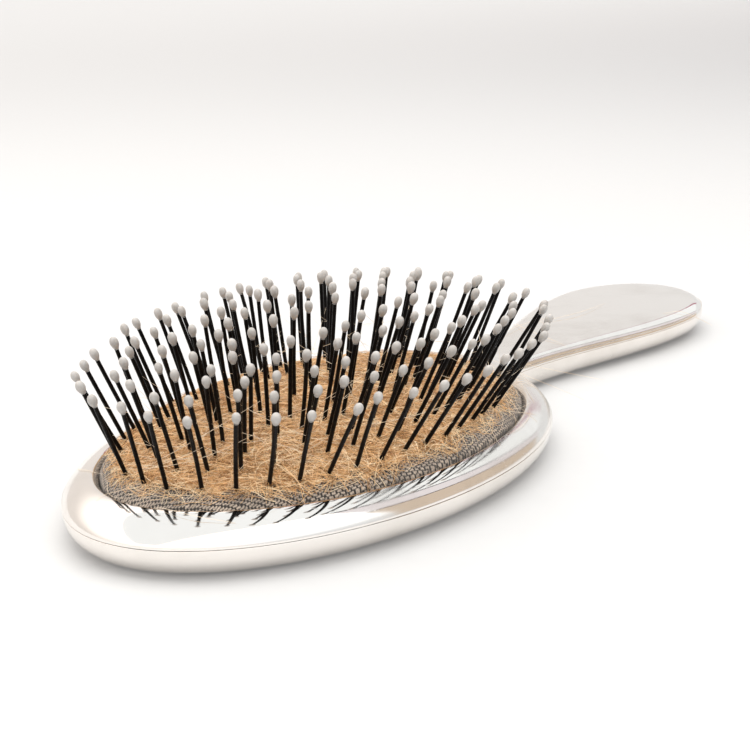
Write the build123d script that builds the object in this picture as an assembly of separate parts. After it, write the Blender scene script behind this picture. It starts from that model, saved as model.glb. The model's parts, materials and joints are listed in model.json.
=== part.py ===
"""Oval air-cushion grooming brush: two-part shell, woven rubber cushion and ball-tipped pins.

Millimetres. The brush lies on the flat of its back with its pins up. The origin is on that flat,
under the middle of the head. +X runs towards the handle, +Z is up.
"""
import os
import random
from math import cos, pi, sin, sqrt

from build123d import *

# Head: an oval, a little wider towards the handle
HEAD_HALF_LENGTH = 62.0
HEAD_HALF_WIDTH = 38.6
EGG = 0.05
PARTING_HEIGHT = 6.0
HEAD_TOP = 11.3
RIM_SIDE_TOP = 9.8
RIM_REACH = 4.4
CREST_CUT = 0.4
CREST_OVERRUN = 0.1
BACK_REACH = 7.0
INSIDE_REACH = 6.5

# Handle: a narrow neck that widens into a flat leaf with a round end
HANDLE_ROOT = 46.0
NECK_X = 64.0
NECK_HALF_WIDTH = 7.2
ROOT_FLARE = 9.0
LEAF_WIDEST_X = 138.0
LEAF_HALF_WIDTH = 20.1
HANDLE_END = 166.0
HANDLE_TOP = 8.3
HANDLE_BOTTOM = 0.9
SHOULDER_REACH = 5.7
HANDLE_BACK_REACH = 4.4
ROOT_POINTS = 4
LEAF_POINTS = 7
END_POINTS = 7

# Shell walls, the groove between the shells and the tongue that locates them
WALL = 2.2
FLOOR = 2.0
CEILING = 1.8
GROOVE_DEPTH = 0.4
GROOVE_HALF_HEIGHT = 0.2
TONGUE_GAP = 0.1
TONGUE_THICKNESS = 0.8
TONGUE_ROOT = 1.4
HEAD_TONGUE_TOP = 7.2
HANDLE_TONGUE_TOP = 6.4

# Pad opening, its lip and the air cushion
OPENING_HALF_LENGTH = 53.7
OPENING_HALF_WIDTH = 33.0
LIP_UNDERSIDE = 8.0
PAD_EDGE_HEIGHT = 9.2
DOME_HEIGHT = 6.2
DOME_POWER = 0.45
DOME_LEVELS = (0, 0.25, 0.5, 0.7, 0.84, 0.93, 0.98)
PAD_GAP = 0.1
CANVAS_THICKNESS = 0.4
RUBBER_THICKNESS = 1.2
FLANGE_WIDTH = 2.0
FLANGE_UNDERSIDE = 6.8
VENT_RADIUS = 0.5
VENT_X = 50.6

# Ring that clamps the cushion's flange, and the posts that hold the ring up
CLAMP_UNDERSIDE = 4.8
CLAMP_INSIDE = 1.2
POST_COUNT = 12
POST_RADIUS = 1.5
POST_OUTSIDE = 0.6

# Pegs of the front shell in the bosses of the back shell, along the handle
PEG_X = (84.0, 112.0, 142.0)
PEG_RADIUS = 1.2
PEG_CLEARANCE = 0.03
PEG_BOTTOM = 3.4
PEG_END_GAP = 0.4
BOSS_RADIUS = 2.6
BOSS_ROOT = 1.0

# Pins: nylon bristles with a flat head under the cushion and a ball tip
RING_PINS = (43, 37, 31, 25, 18)
FIRST_RING_INSET = 4.6
RING_SPACING = 6.0
PIN_RADIUS = 0.4
PIN_EXPOSED = 19.4
PIN_HOLE_CLEARANCE = 0.05
PIN_HOLE_DEPTH = 7.0
PIN_HOLE_LENGTH = 12.0
PIN_HEAD_RADIUS = 0.9
PIN_HEAD_THICKNESS = 0.6
PIN_HEAD_GAP = 0.65
FAN_X = 0.43
FAN_Y = 0.46
FAN_AT_X = 50.0
FAN_AT_Y = 28.0
SET_X = -0.19
SET_Y = -0.25
LEAN_SCATTER = 0.035
PLACE_SCATTER = 0.35
SEED = 21

# Ball tips
TIP_RADIUS = 0.8
TIP_LENGTH = 2.5
TIP_ROUNDING = 0.98
TIP_BORE_DEPTH = 1.3
TIP_BORE_CLEARANCE = 0.01

# How finely outlines and curls are drawn, and how far a cut runs past what it cuts
OUTLINE_POINTS = 36
PROFILE_STEPS = 5
CUT_MARGIN = 1.0


def oval(half_length, half_width, height):
    """Closed egg-shaped outline of the head at one height."""
    points = []
    for i in range(OUTLINE_POINTS):
        turn = 2 * pi * i / OUTLINE_POINTS
        wide = half_width * (1 + EGG * cos(turn))
        points.append(Vector(half_length * cos(turn), wide * sin(turn), height))
    return Wire([Edge.make_spline(points, periodic=True)])


def head_outline(inset, height):
    return oval(HEAD_HALF_LENGTH - inset, HEAD_HALF_WIDTH - inset, height)


def opening_outline(outset, height):
    return oval(OPENING_HALF_LENGTH + outset, OPENING_HALF_WIDTH + outset, height)


def handle_side(inset):
    """Points along one side of the handle, from its root in the head to its round end."""
    side = []
    for i in range(ROOT_POINTS):
        x = HANDLE_ROOT + (NECK_X - HANDLE_ROOT) * i / ROOT_POINTS
        spread = (NECK_X - x) / (NECK_X - HANDLE_ROOT)
        side.append((x, NECK_HALF_WIDTH + ROOT_FLARE * spread**2))
    for i in range(LEAF_POINTS):
        u = i / LEAF_POINTS
        x = NECK_X + (LEAF_WIDEST_X - NECK_X) * u
        side.append((x, NECK_HALF_WIDTH + (LEAF_HALF_WIDTH - NECK_HALF_WIDTH) * u * u * (3 - 2 * u)))
    for i in range(END_POINTS):
        turn = pi / 2 * i / END_POINTS
        x = LEAF_WIDEST_X + (HANDLE_END - LEAF_WIDEST_X - inset) * sin(turn)
        side.append((x, LEAF_HALF_WIDTH * cos(turn)))
    return [(x, y * (1 - inset / sqrt(LEAF_HALF_WIDTH * max(y, NECK_HALF_WIDTH)))) for x, y in side]


def handle_outline(inset, height):
    """Closed outline of the handle. The inset eases off where the handle is narrow."""
    side = handle_side(inset)
    points = [Vector(x, -y, height) for x, y in side]
    points.append(Vector(HANDLE_END - inset, 0, height))
    points.extend(Vector(x, y, height) for x, y in reversed(side))
    rim = Edge.make_spline(points)
    root = Edge.make_line(points[-1], points[0])
    return Wire([rim, root])


def rounded(outline, inset, reach, start_height, end_height):
    """Solid whose side curls in from start_height, in a quarter ellipse, to a flat at end_height."""
    levels = []
    for i in range(PROFILE_STEPS + 1):
        turn = pi / 2 * i / PROFILE_STEPS
        height = start_height + (end_height - start_height) * sin(turn)
        levels.append(outline(inset + reach * (1 - cos(turn)), height))
    return Solid.make_loft(levels)


def prism(outline, inset, bottom, top):
    return Solid.extrude(Face(outline(inset, bottom)), Vector(0, 0, top - bottom))


def body_prism(inset, bottom, top):
    """Upright prism over the outline of head and handle together."""
    return prism(head_outline, inset, bottom, top) + prism(handle_outline, inset, bottom, top)


def parting_groove():
    bottom = PARTING_HEIGHT - GROOVE_HALF_HEIGHT
    top = PARTING_HEIGHT + GROOVE_HALF_HEIGHT
    return body_prism(-CUT_MARGIN, bottom, top) - body_prism(GROOVE_DEPTH, bottom, top)


def upright(radius, x, y, bottom, top):
    return Solid.make_cylinder(radius, top - bottom, Plane((x, y, bottom)))


def front_shell():
    """Upper shell: the rim around the cushion, the neck and the handle's top."""
    shell = rounded(head_outline, 0, RIM_REACH, PARTING_HEIGHT, HEAD_TOP) - saddle()
    shell += rounded(handle_outline, 0, SHOULDER_REACH, PARTING_HEIGHT, HANDLE_TOP)
    shell -= prism(head_outline, WALL, PARTING_HEIGHT, LIP_UNDERSIDE)
    shell -= prism(handle_outline, WALL, PARTING_HEIGHT, HANDLE_TOP - CEILING)
    shell -= prism(opening_outline, 0, PARTING_HEIGHT, HEAD_TOP + CUT_MARGIN)
    shell -= rim_slope()
    shell -= parting_groove()
    for x in PEG_X:
        shell += upright(PEG_RADIUS, x, 0, PEG_BOTTOM, HANDLE_TOP - CEILING)
    return shell


def saddle():
    """Space above the rim, which is lower along the head's two sides than at its ends."""
    dip = HEAD_TOP - RIM_SIDE_TOP
    radius = (HEAD_HALF_LENGTH**2 + dip**2) / (2 * dip)
    width = 2 * (HEAD_HALF_WIDTH * (1 + EGG) + CUT_MARGIN)
    axis_end = Plane((0, width / 2, RIM_SIDE_TOP + radius), z_dir=(0, -1, 0))
    return Solid.make_cylinder(radius, width, axis_end)


def rim_slope():
    """Space above the rim's inner slope, which runs from the crest down to the cushion."""
    low = opening_outline(0, PAD_EDGE_HEIGHT)
    high = head_outline(RIM_REACH - CREST_CUT, HEAD_TOP + CREST_OVERRUN)
    return Solid.make_loft([low, high])


def tongue():
    """Thin wall inside the seam that locates the front shell on the back shell."""
    bottom = PARTING_HEIGHT - TONGUE_ROOT
    outer = WALL + TONGUE_GAP
    inner = outer + TONGUE_THICKNESS
    head = prism(head_outline, outer, bottom, HEAD_TONGUE_TOP)
    handle = prism(handle_outline, outer, bottom, HANDLE_TONGUE_TOP)
    hollow = body_prism(inner, bottom, HEAD_TONGUE_TOP)
    return (head + handle) - hollow


def clamp_posts():
    """Posts that stand on the back shell's floor, under the clamp ring."""
    path = opening_outline(POST_OUTSIDE, FLOOR)
    posts = []
    for i in range(POST_COUNT):
        place = path.position_at((i + 0.5) / POST_COUNT)
        posts.append(upright(POST_RADIUS, place.X, place.Y, FLOOR / 2, CLAMP_UNDERSIDE))
    return posts


def back_shell():
    """Lower shell: a tray with a flat back, the locating tongue, posts and peg bosses."""
    shell = rounded(head_outline, 0, BACK_REACH, PARTING_HEIGHT, 0)
    shell += rounded(handle_outline, 0, HANDLE_BACK_REACH, PARTING_HEIGHT, HANDLE_BOTTOM)
    shell -= rounded(head_outline, WALL, INSIDE_REACH, PARTING_HEIGHT, FLOOR)
    floor = HANDLE_BOTTOM + CEILING
    shell -= rounded(handle_outline, WALL, HANDLE_BACK_REACH, PARTING_HEIGHT, floor)
    shell -= parting_groove()
    shell += tongue()
    for post in clamp_posts():
        shell += post
    for x in PEG_X:
        shell += upright(BOSS_RADIUS, x, 0, floor - BOSS_ROOT, PARTING_HEIGHT)
        bore_bottom = PEG_BOTTOM - PEG_END_GAP
        shell -= upright(PEG_RADIUS + PEG_CLEARANCE, x, 0, bore_bottom, PARTING_HEIGHT + CUT_MARGIN)
    return shell


def clamp_ring():
    bottom, top = CLAMP_UNDERSIDE, FLANGE_UNDERSIDE
    outside = prism(opening_outline, FLANGE_WIDTH, bottom, top)
    return outside - prism(opening_outline, -CLAMP_INSIDE, bottom, top)


def dome_outline(shrink, share, rise):
    """Outline of the cushion's dome, where share runs from 1 at its edge to 0 at its middle."""
    half_length = (OPENING_HALF_LENGTH - shrink) * share
    half_width = (OPENING_HALF_WIDTH - shrink) * share
    return oval(half_length, half_width, PAD_EDGE_HEIGHT + rise)


def cushion_solid(shrink, bottom):
    """Solid under one surface of the cushion, shrunk by its depth below the outer surface."""
    height = DOME_HEIGHT - shrink + PAD_GAP
    levels = []
    for share_of_height in DOME_LEVELS:
        share = sqrt(1 - share_of_height ** (1 / DOME_POWER))
        levels.append(dome_outline(shrink, share, height * share_of_height))
    return Solid.make_loft(levels) + prism(opening_outline, -shrink, bottom, PAD_EDGE_HEIGHT)


def pad_canvas():
    """Woven outer ply of the cushion."""
    inner = cushion_solid(PAD_GAP + CANVAS_THICKNESS, LIP_UNDERSIDE)
    return cushion_solid(PAD_GAP, LIP_UNDERSIDE) - inner


def pad_rubber():
    """Rubber membrane under the canvas, with the flange that the shell's lip and the ring clamp."""
    outer = PAD_GAP + CANVAS_THICKNESS
    pad = cushion_solid(outer, LIP_UNDERSIDE)
    pad += prism(opening_outline, FLANGE_WIDTH, FLANGE_UNDERSIDE, LIP_UNDERSIDE)
    return pad - cushion_solid(outer + RUBBER_THICKNESS, FLANGE_UNDERSIDE)


def cushion_height(x, y):
    """Height of the cushion's outer surface above one point."""
    wide = OPENING_HALF_WIDTH * (1 + EGG * x / OPENING_HALF_LENGTH)
    share = (x / OPENING_HALF_LENGTH) ** 2 + (y / wide) ** 2
    return PAD_EDGE_HEIGHT + DOME_HEIGHT * (1 - share) ** DOME_POWER


def pin_lines(ring, scatter):
    """Foot on the cushion and unit direction of each pin in one ring."""
    inset = FIRST_RING_INSET + RING_SPACING * ring
    path = opening_outline(-inset, 0)
    count = RING_PINS[ring]
    lines = []
    for i in range(count):
        place = path.position_at((i + 0.5 * (ring % 2)) / count)
        x = place.X + scatter.uniform(-PLACE_SCATTER, PLACE_SCATTER)
        y = place.Y + scatter.uniform(-PLACE_SCATTER, PLACE_SCATTER)
        lean_x = SET_X + FAN_X * x / FAN_AT_X + scatter.gauss(0, LEAN_SCATTER)
        lean_y = SET_Y + FAN_Y * y / FAN_AT_Y + scatter.gauss(0, LEAN_SCATTER)
        foot = Vector(x, y, cushion_height(x, y))
        lines.append((foot, Vector(lean_x, lean_y, 1).normalized()))
    return lines


def pin(foot, lean):
    """One bristle, from its flat head under the cushion to its end inside the ball tip."""
    depth = (CANVAS_THICKNESS + RUBBER_THICKNESS) / slope_cosine(foot, lean) + PIN_HEAD_GAP
    root = foot - lean * (depth + PIN_HEAD_THICKNESS)
    tip_end = PIN_EXPOSED - TIP_LENGTH / 2 + TIP_BORE_DEPTH
    shaft = Solid.make_cylinder(PIN_RADIUS, depth + PIN_HEAD_THICKNESS + tip_end, Plane(root, z_dir=lean))
    head = Solid.make_cylinder(PIN_HEAD_RADIUS, PIN_HEAD_THICKNESS, Plane(root, z_dir=lean))
    return shaft + head


def slope_cosine(foot, lean):
    """Cosine of the angle between a pin and the cushion's surface normal at its foot."""
    step = 0.5
    rise_x = cushion_height(foot.X + step, foot.Y) - cushion_height(foot.X - step, foot.Y)
    rise_y = cushion_height(foot.X, foot.Y + step) - cushion_height(foot.X, foot.Y - step)
    normal = Vector(-rise_x / (2 * step), -rise_y / (2 * step), 1).normalized()
    return normal.dot(lean)


def pin_hole(foot, lean):
    radius = PIN_RADIUS + PIN_HOLE_CLEARANCE
    return Solid.make_cylinder(radius, PIN_HOLE_LENGTH, Plane(foot - lean * PIN_HOLE_DEPTH, z_dir=lean))


def tip(foot, lean):
    """Long ball tip with the blind bore that takes the end of its pin."""
    middle = foot + lean * PIN_EXPOSED
    half = TIP_LENGTH / 2
    barrel = Solid.make_cylinder(TIP_RADIUS, TIP_LENGTH, Plane((0, 0, -half)))
    ball = barrel.fillet(TIP_RADIUS * TIP_ROUNDING, barrel.edges().filter_by(GeomType.CIRCLE))
    mouth = Plane((0, 0, -half - CUT_MARGIN))
    bore = Solid.make_cylinder(PIN_RADIUS + TIP_BORE_CLEARANCE, TIP_BORE_DEPTH + CUT_MARGIN, mouth)
    return (ball - bore).moved(Plane(middle, z_dir=lean).location)


def bristle_groups():
    """Pins and tips of each ring, split into the brush's left (+Y) and right (-Y) sides."""
    scatter = random.Random(SEED)
    groups = {}
    holes = []
    for ring in range(len(RING_PINS)):
        for foot, lean in pin_lines(ring, scatter):
            side = "left" if foot.Y > 0 else "right"
            name = f"ring_{ring + 1}_{side}"
            groups.setdefault(f"pins_{name}", []).append(pin(foot, lean))
            groups.setdefault(f"tips_{name}", []).append(tip(foot, lean))
            holes.append(pin_hole(foot, lean))
    return groups, holes


def main():
    os.makedirs("parts", exist_ok=True)
    groups, holes = bristle_groups()
    vent = upright(VENT_RADIUS, VENT_X, 0, FLANGE_UNDERSIDE, HEAD_TOP + DOME_HEIGHT)
    nodes = {
        "front_shell": front_shell(),
        "back_shell": back_shell(),
        "pad_clamp_ring": clamp_ring(),
        "pad_canvas": pad_canvas().cut(vent, *holes),
        "pad_rubber": pad_rubber().cut(vent, *holes),
    }
    for name, solids in groups.items():
        nodes[name] = Compound(children=solids)
    for name, shape in nodes.items():
        export_step(shape, f"parts/{name}.step")


main()
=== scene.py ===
import json
import math

import bmesh
import bpy
import numpy as np
from mathutils import Matrix, Vector, bvhtree, noise


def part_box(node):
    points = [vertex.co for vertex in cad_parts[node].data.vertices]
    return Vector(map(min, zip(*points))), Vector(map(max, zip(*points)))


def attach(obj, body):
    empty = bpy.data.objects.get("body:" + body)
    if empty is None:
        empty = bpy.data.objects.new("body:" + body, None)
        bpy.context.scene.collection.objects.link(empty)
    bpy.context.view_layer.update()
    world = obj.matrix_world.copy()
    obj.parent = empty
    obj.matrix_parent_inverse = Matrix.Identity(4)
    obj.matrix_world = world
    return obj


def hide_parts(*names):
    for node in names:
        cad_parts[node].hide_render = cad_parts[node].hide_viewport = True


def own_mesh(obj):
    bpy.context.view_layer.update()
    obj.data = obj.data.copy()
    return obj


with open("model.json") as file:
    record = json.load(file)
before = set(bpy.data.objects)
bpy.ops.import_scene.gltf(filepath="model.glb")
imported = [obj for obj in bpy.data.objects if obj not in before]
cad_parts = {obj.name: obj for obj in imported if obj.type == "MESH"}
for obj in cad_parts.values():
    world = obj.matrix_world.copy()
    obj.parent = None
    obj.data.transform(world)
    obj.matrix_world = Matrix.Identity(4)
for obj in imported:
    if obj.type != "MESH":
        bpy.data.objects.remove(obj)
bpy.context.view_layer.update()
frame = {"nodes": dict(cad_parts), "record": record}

MM = 0.001
RNG = np.random.default_rng(11)

# ---------------------------------------------------------------- shape, from the CAD frame
FRONT_LOW, FRONT_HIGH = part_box("front_shell")
CANVAS_LOW, CANVAS_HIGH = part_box("pad_canvas")
EGG = 0.05
HEAD_LENGTH = -FRONT_LOW[0]
HEAD_WIDTH = FRONT_HIGH[1] / (1 + EGG**2 / 2)
HEAD_TOP = FRONT_HIGH[2]
RIM_SIDE_TOP = 9.8 * MM
HANDLE_END = FRONT_HIGH[0]
PAD_GAP = 0.1 * MM
OPENING_LENGTH = CANVAS_HIGH[0] + PAD_GAP
OPENING_WIDTH = CANVAS_HIGH[1] / (1 + EGG**2 / 2) + PAD_GAP
LIP_UNDERSIDE = CANVAS_LOW[2]
SEAM = 6.0 * MM
PAD_EDGE = 9.2 * MM
DOME_RISE = 6.2 * MM
DOME_POWER = 0.45
NECK_X = 64 * MM
NECK_WIDTH = 7.2 * MM
LEAF_X = 138 * MM
LEAF_WIDTH = 20.1 * MM
HANDLE_TOP = 8.3 * MM
HANDLE_BOTTOM = 0.9 * MM


def smoothstep(low, high, value):
    share = np.clip((value - low) / (high - low), 0, 1)
    return share * share * (3 - 2 * share)


def oval_share(x, y):
    """0 at the middle of the pad opening and 1 at its edge."""
    wide = OPENING_WIDTH * (1 + EGG * x / OPENING_LENGTH)
    return np.sqrt((x / OPENING_LENGTH) ** 2 + (y / wide) ** 2)


def dome_height(x, y):
    share = np.clip(oval_share(x, y), 0, 1)
    return PAD_EDGE + DOME_RISE * (1 - share**2) ** DOME_POWER


# ---------------------------------------------------------------- mesh helpers
def new_piece(name, points, faces, material, smooth=True):
    mesh = bpy.data.meshes.new(name)
    mesh.from_pydata([tuple(p) for p in points], [], faces)
    mesh.validate()
    mesh.materials.append(material)
    mesh.polygons.foreach_set("use_smooth", [smooth] * len(mesh.polygons))
    piece = bpy.data.objects.new(name, mesh)
    bpy.context.scene.collection.objects.link(piece)
    return piece


def apply_modifiers(piece):
    """Bakes the piece's modifiers into its mesh."""
    depsgraph = bpy.context.evaluated_depsgraph_get()
    mesh = bpy.data.meshes.new_from_object(piece.evaluated_get(depsgraph))
    piece.modifiers.clear()
    piece.data = mesh
    return piece


def band(first, second, count, closed=True):
    """Quads between two rows of points that start at the given indices."""
    last = count if closed else count - 1
    return [(first + i, first + (i + 1) % count, second + (i + 1) % count, second + i)
            for i in range(last)]


def tubes(paths, radii, sides):
    """One mesh of thin closed tubes. paths is (tube, point, xyz) and radii is (tube, point)."""
    count, steps, _ = paths.shape
    along = np.gradient(paths, axis=1)
    along /= np.linalg.norm(along, axis=2, keepdims=True) + 1e-12
    reference = np.where(np.abs(along[..., 2:3]) > 0.9, (1.0, 0.0, 0.0), (0.0, 0.0, 1.0))
    across = np.cross(along, reference)
    across /= np.linalg.norm(across, axis=2, keepdims=True) + 1e-12
    other = np.cross(along, across)
    rings = []
    for side in range(sides):
        turn = 2 * math.pi * side / sides
        rings.append(across * math.cos(turn) + other * math.sin(turn))
    rings = np.stack(rings, axis=2) * radii[..., None, None]
    points = (paths[:, :, None, :] + rings).reshape(-1, 3)
    faces = []
    for tube in range(count):
        start = tube * steps * sides
        for step in range(steps - 1):
            low = start + step * sides
            faces.extend((low + s, low + (s + 1) % sides, low + sides + (s + 1) % sides, low + sides + s)
                         for s in range(sides))
        faces.append(tuple(range(start + sides - 1, start - 1, -1)))
        end = start + (steps - 1) * sides
        faces.append(tuple(range(end, end + sides)))
    return points, faces


# ---------------------------------------------------------------- plated shells
OUTLINE_COUNT = 640
NECK_CUT_X = 61.5 * MM
GROOVE_HALF = 0.035 * MM
HANDLE_GROOVE_SHARE = 0.15
GROOVE_INSETS = (0.22 * MM, 0.10 * MM, 0.03 * MM)
GROOVE_LIP = 0.02 * MM
SEAM_EDGE = 0.1 * MM
SHELL_SKIN = 0.9 * MM
CURVE_STEPS = 200
HEAD_STEPS = 500
NECK_STEPS = 60
HEAD_START = math.radians(24.5)
LEAF_ROOT_GAP = 5 * MM
NECK_CORNER = (61.2 * MM, 7.2 * MM)
OUTLINE_SMOOTHING = 6
EASE_LENGTH = 12 * MM
HANDLE_BLEND = (53 * MM, 74 * MM)
CURL_STEPS = 15
FRONT_CURL = 1.65
BACK_CURL = 2.1
HANDLE_CROWN = 0.25 * MM
HANDLE_COLUMNS = 10
BACK_COLUMNS = 14
RIM_STEPS = 9
RIM_DROP_POWER = 1.3
LIP_EDGE = 0.25 * MM
# In millimetres: how far the shells curl in at the rim's sides, how much more at its ends,
# and how far at the handle, on the back of the head and on the back of the handle
RIM_SIDE_REACH = 4.7
RIM_END_EXTRA = 1.3
SHOULDER_REACH = 3.1
BACK_REACH = 7.0
HANDLE_BACK_REACH = 4.4


def half_outline():
    """One side of the brush in plan, from the handle's end to the head's tip, as a dense line."""
    turn = np.linspace(0, math.pi / 2, CURVE_STEPS)
    end_x = LEAF_X + (HANDLE_END - LEAF_X) * np.cos(turn)
    end_y = LEAF_WIDTH * np.sin(turn)
    leaf_x = np.linspace(LEAF_X, NECK_X + LEAF_ROOT_GAP, CURVE_STEPS)[1:]
    share = (leaf_x - NECK_X) / (LEAF_X - NECK_X)
    leaf_y = NECK_WIDTH + (LEAF_WIDTH - NECK_WIDTH) * share**2 * (3 - 2 * share)
    turn = np.linspace(HEAD_START, math.pi, HEAD_STEPS)
    head_x = HEAD_LENGTH * np.cos(turn)
    head_y = HEAD_WIDTH * np.sin(turn) * (1 + EGG * np.cos(turn))
    start, end = (leaf_x[-1], leaf_y[-1]), (head_x[0], head_y[0])
    corner = NECK_CORNER
    u = np.linspace(0, 1, NECK_STEPS)[1:-1]
    neck_x = (1 - u) ** 3 * start[0] + 3 * u * (1 - u) * corner[0] + u**3 * end[0]
    neck_y = (1 - u) ** 3 * start[1] + 3 * u * (1 - u) * corner[1] + u**3 * end[1]
    x = np.concatenate([end_x, leaf_x, neck_x, head_x])
    y = np.concatenate([end_y, leaf_y, neck_y, head_y])
    return x, y


def outline():
    """Evenly spaced points and inward normals right round the brush, anticlockwise from the handle's end."""
    x, y = half_outline()
    length = np.concatenate([[0], np.cumsum(np.hypot(np.diff(x), np.diff(y)))])
    even = np.linspace(0, length[-1], OUTLINE_COUNT // 2 + 1)
    x, y = np.interp(even, length, x), np.interp(even, length, y)
    x, y = np.concatenate([x, x[-2:0:-1]]), np.concatenate([y, -y[-2:0:-1]])
    for _ in range(OUTLINE_SMOOTHING):
        x = (np.roll(x, 1) + 2 * x + np.roll(x, -1)) / 4
        y = (np.roll(y, 1) + 2 * y + np.roll(y, -1)) / 4
    along_x, along_y = np.roll(x, -1) - np.roll(x, 1), np.roll(y, -1) - np.roll(y, 1)
    size = np.hypot(along_x, along_y)
    return x, y, -along_y / size, along_x / size


def inset_ease(x, y):
    """Insets ease off where the handle is narrow."""
    narrow = np.sqrt(np.clip(np.abs(y), NECK_WIDTH, LEAF_WIDTH) / LEAF_WIDTH)
    return np.where((x > NECK_X) & (x < LEAF_X), narrow, smooth_ease(x))


def smooth_ease(x):
    """Scale of insets away from the neck: full on the head and the leaf, less close to the neck."""
    towards_head = smoothstep(NECK_X - EASE_LENGTH, NECK_X, x)
    neck_value = math.sqrt(NECK_WIDTH / LEAF_WIDTH)
    return np.where(x >= LEAF_X, 1.0, 1 + (neck_value - 1) * towards_head)


def shell_row(shape, inset, height):
    """One closed row of points, inset from the outline, at a height that may vary round it."""
    x, y, inward_x, inward_y = shape
    ease = inset_ease(x, y)
    return np.column_stack([x + inward_x * inset * ease, y + inward_y * inset * ease,
                            np.broadcast_to(height, x.shape)])


def handle_share(x):
    """0 over the head and 1 over the handle."""
    return smoothstep(*HANDLE_BLEND, x)


def curl(shape, reach, base, rise, power, turns):
    """Rows that curl in from the seam to the crest or the flat of the back."""
    rows = []
    for turn in turns:
        inward = 1 - math.cos(turn) ** (2 / power)
        upward = math.sin(turn) ** (2 / power)
        rows.append(shell_row(shape, reach * inward, base + rise * upward))
    return rows


def groove_rows(shape, base, way):
    """The shell's edge where it turns in at the fine groove between the two halves."""
    deep, middle, outer = GROOVE_INSETS
    return [shell_row(shape, deep, base), shell_row(shape, middle, base),
            shell_row(shape, outer, base + way * GROOVE_LIP)]


def groove_half(share):
    """Half the groove's height, which closes up from the head to the handle."""
    return GROOVE_HALF * (1 + (HANDLE_GROOVE_SHARE - 1) * share)


def across_rows(row, first, count, crown):
    """Grid across the brush between matching points of its two sides, from the end up to index first."""
    points, faces = [], []
    index = []
    total = len(row)
    for j in range(first + 1):
        left, right = row[j], row[-j % total]
        if j == 0 or 2 * j == total:
            index.append([j])
            continue
        inner = []
        for k in range(1, count):
            u = k / count
            point = left + (right - left) * u
            point[2] += crown * 4 * u * (1 - u) * min(1, abs(left[1]) / (10 * MM))
            inner.append(total + len(points))
            points.append(point)
        index.append([j] + inner + [total - j])
    for near, far in zip(index[:-1], index[1:]):
        if len(near) == 1:
            faces.extend((near[0], far[k + 1], far[k]) for k in range(len(far) - 1))
        elif len(far) == 1:
            faces.extend((near[k], near[k + 1], far[0]) for k in range(len(near) - 1))
        else:
            faces.extend((near[k], near[k + 1], far[k + 1], far[k]) for k in range(len(near) - 1))
    return points, faces, index


def front_shell_mesh(material):
    """Rim, neck and handle top as one smooth skin with the pad opening in it."""
    shape = outline()
    share = handle_share(shape[0])
    towards_ends = np.clip(shape[0] / HEAD_LENGTH, -1, 1) ** 2
    rim_top = RIM_SIDE_TOP + (HEAD_TOP - RIM_SIDE_TOP) * towards_ends
    rim_reach = (RIM_SIDE_REACH + RIM_END_EXTRA * towards_ends) * MM
    reach = rim_reach + (SHOULDER_REACH * MM - rim_reach) * share
    top = rim_top + (HANDLE_TOP - rim_top) * share
    base = SEAM + groove_half(share)
    turns = np.linspace(0, math.pi / 2, CURL_STEPS)
    rows = groove_rows(shape, base, 1)
    rows += curl(shape, reach, base + SEAM_EDGE, top - base - SEAM_EDGE, FRONT_CURL, turns)
    crest = rows[-1]
    count = len(crest)
    points = [p for row in rows for p in row]
    faces = [f for r in range(len(rows) - 1) for f in band(r * count, (r + 1) * count, count)]
    crest_start = (len(rows) - 1) * count
    cut = int(np.argmax(shape[0][:count // 2] < NECK_CUT_X))
    more, more_faces, index = across_rows(crest, cut, HANDLE_COLUMNS, HANDLE_CROWN)
    offset = len(points) - count

    def moved(i):
        return crest_start + i if i < count else offset + i

    points.extend(more)
    faces.extend(tuple(moved(i) for i in face) for face in more_faces)
    neck_line = [moved(i) for i in index[-1]]
    border = [crest_start + i for i in range(cut, count - cut + 1)] + neck_line[-2:0:-1]
    rim_points, rim_faces = rim_inside(np.array([points[i] for i in border]), border, len(points))
    points.extend(rim_points)
    faces.extend(rim_faces)
    return finish_shell("front_shell_skin", points, faces, material, "front_shell")


def rim_inside(border, border_index, start):
    """The rim's inner slope, from its crest to the opening, and the lip's edge under it."""
    wide = HEAD_WIDTH * (1 + EGG * border[:, 0] / HEAD_LENGTH)
    turn = np.unwrap(np.arctan2(border[:, 1] / wide, border[:, 0] / HEAD_LENGTH))
    edge_x = OPENING_LENGTH * np.cos(turn)
    edge_y = OPENING_WIDTH * np.sin(turn) * (1 + EGG * np.cos(turn))
    points, faces = [], []
    count = len(border)
    previous = list(border_index)
    rows = []
    for u in np.linspace(0, 1, RIM_STEPS)[1:]:
        drop = u**RIM_DROP_POWER
        x = border[:, 0] + (edge_x - border[:, 0]) * u
        y = border[:, 1] + (edge_y - border[:, 1]) * u
        rows.append(np.column_stack([x, y, border[:, 2] + (PAD_EDGE - border[:, 2]) * drop]))
    for below in (LIP_EDGE, PAD_EDGE - LIP_UNDERSIDE):
        rows.append(np.column_stack([edge_x, edge_y, np.full(count, PAD_EDGE - below)]))
    for row in rows:
        current = [start + len(points) + i for i in range(count)]
        points.extend(row)
        faces.extend((previous[i], previous[(i + 1) % count], current[(i + 1) % count], current[i])
                     for i in range(count))
        previous = current
    return points, faces


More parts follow.
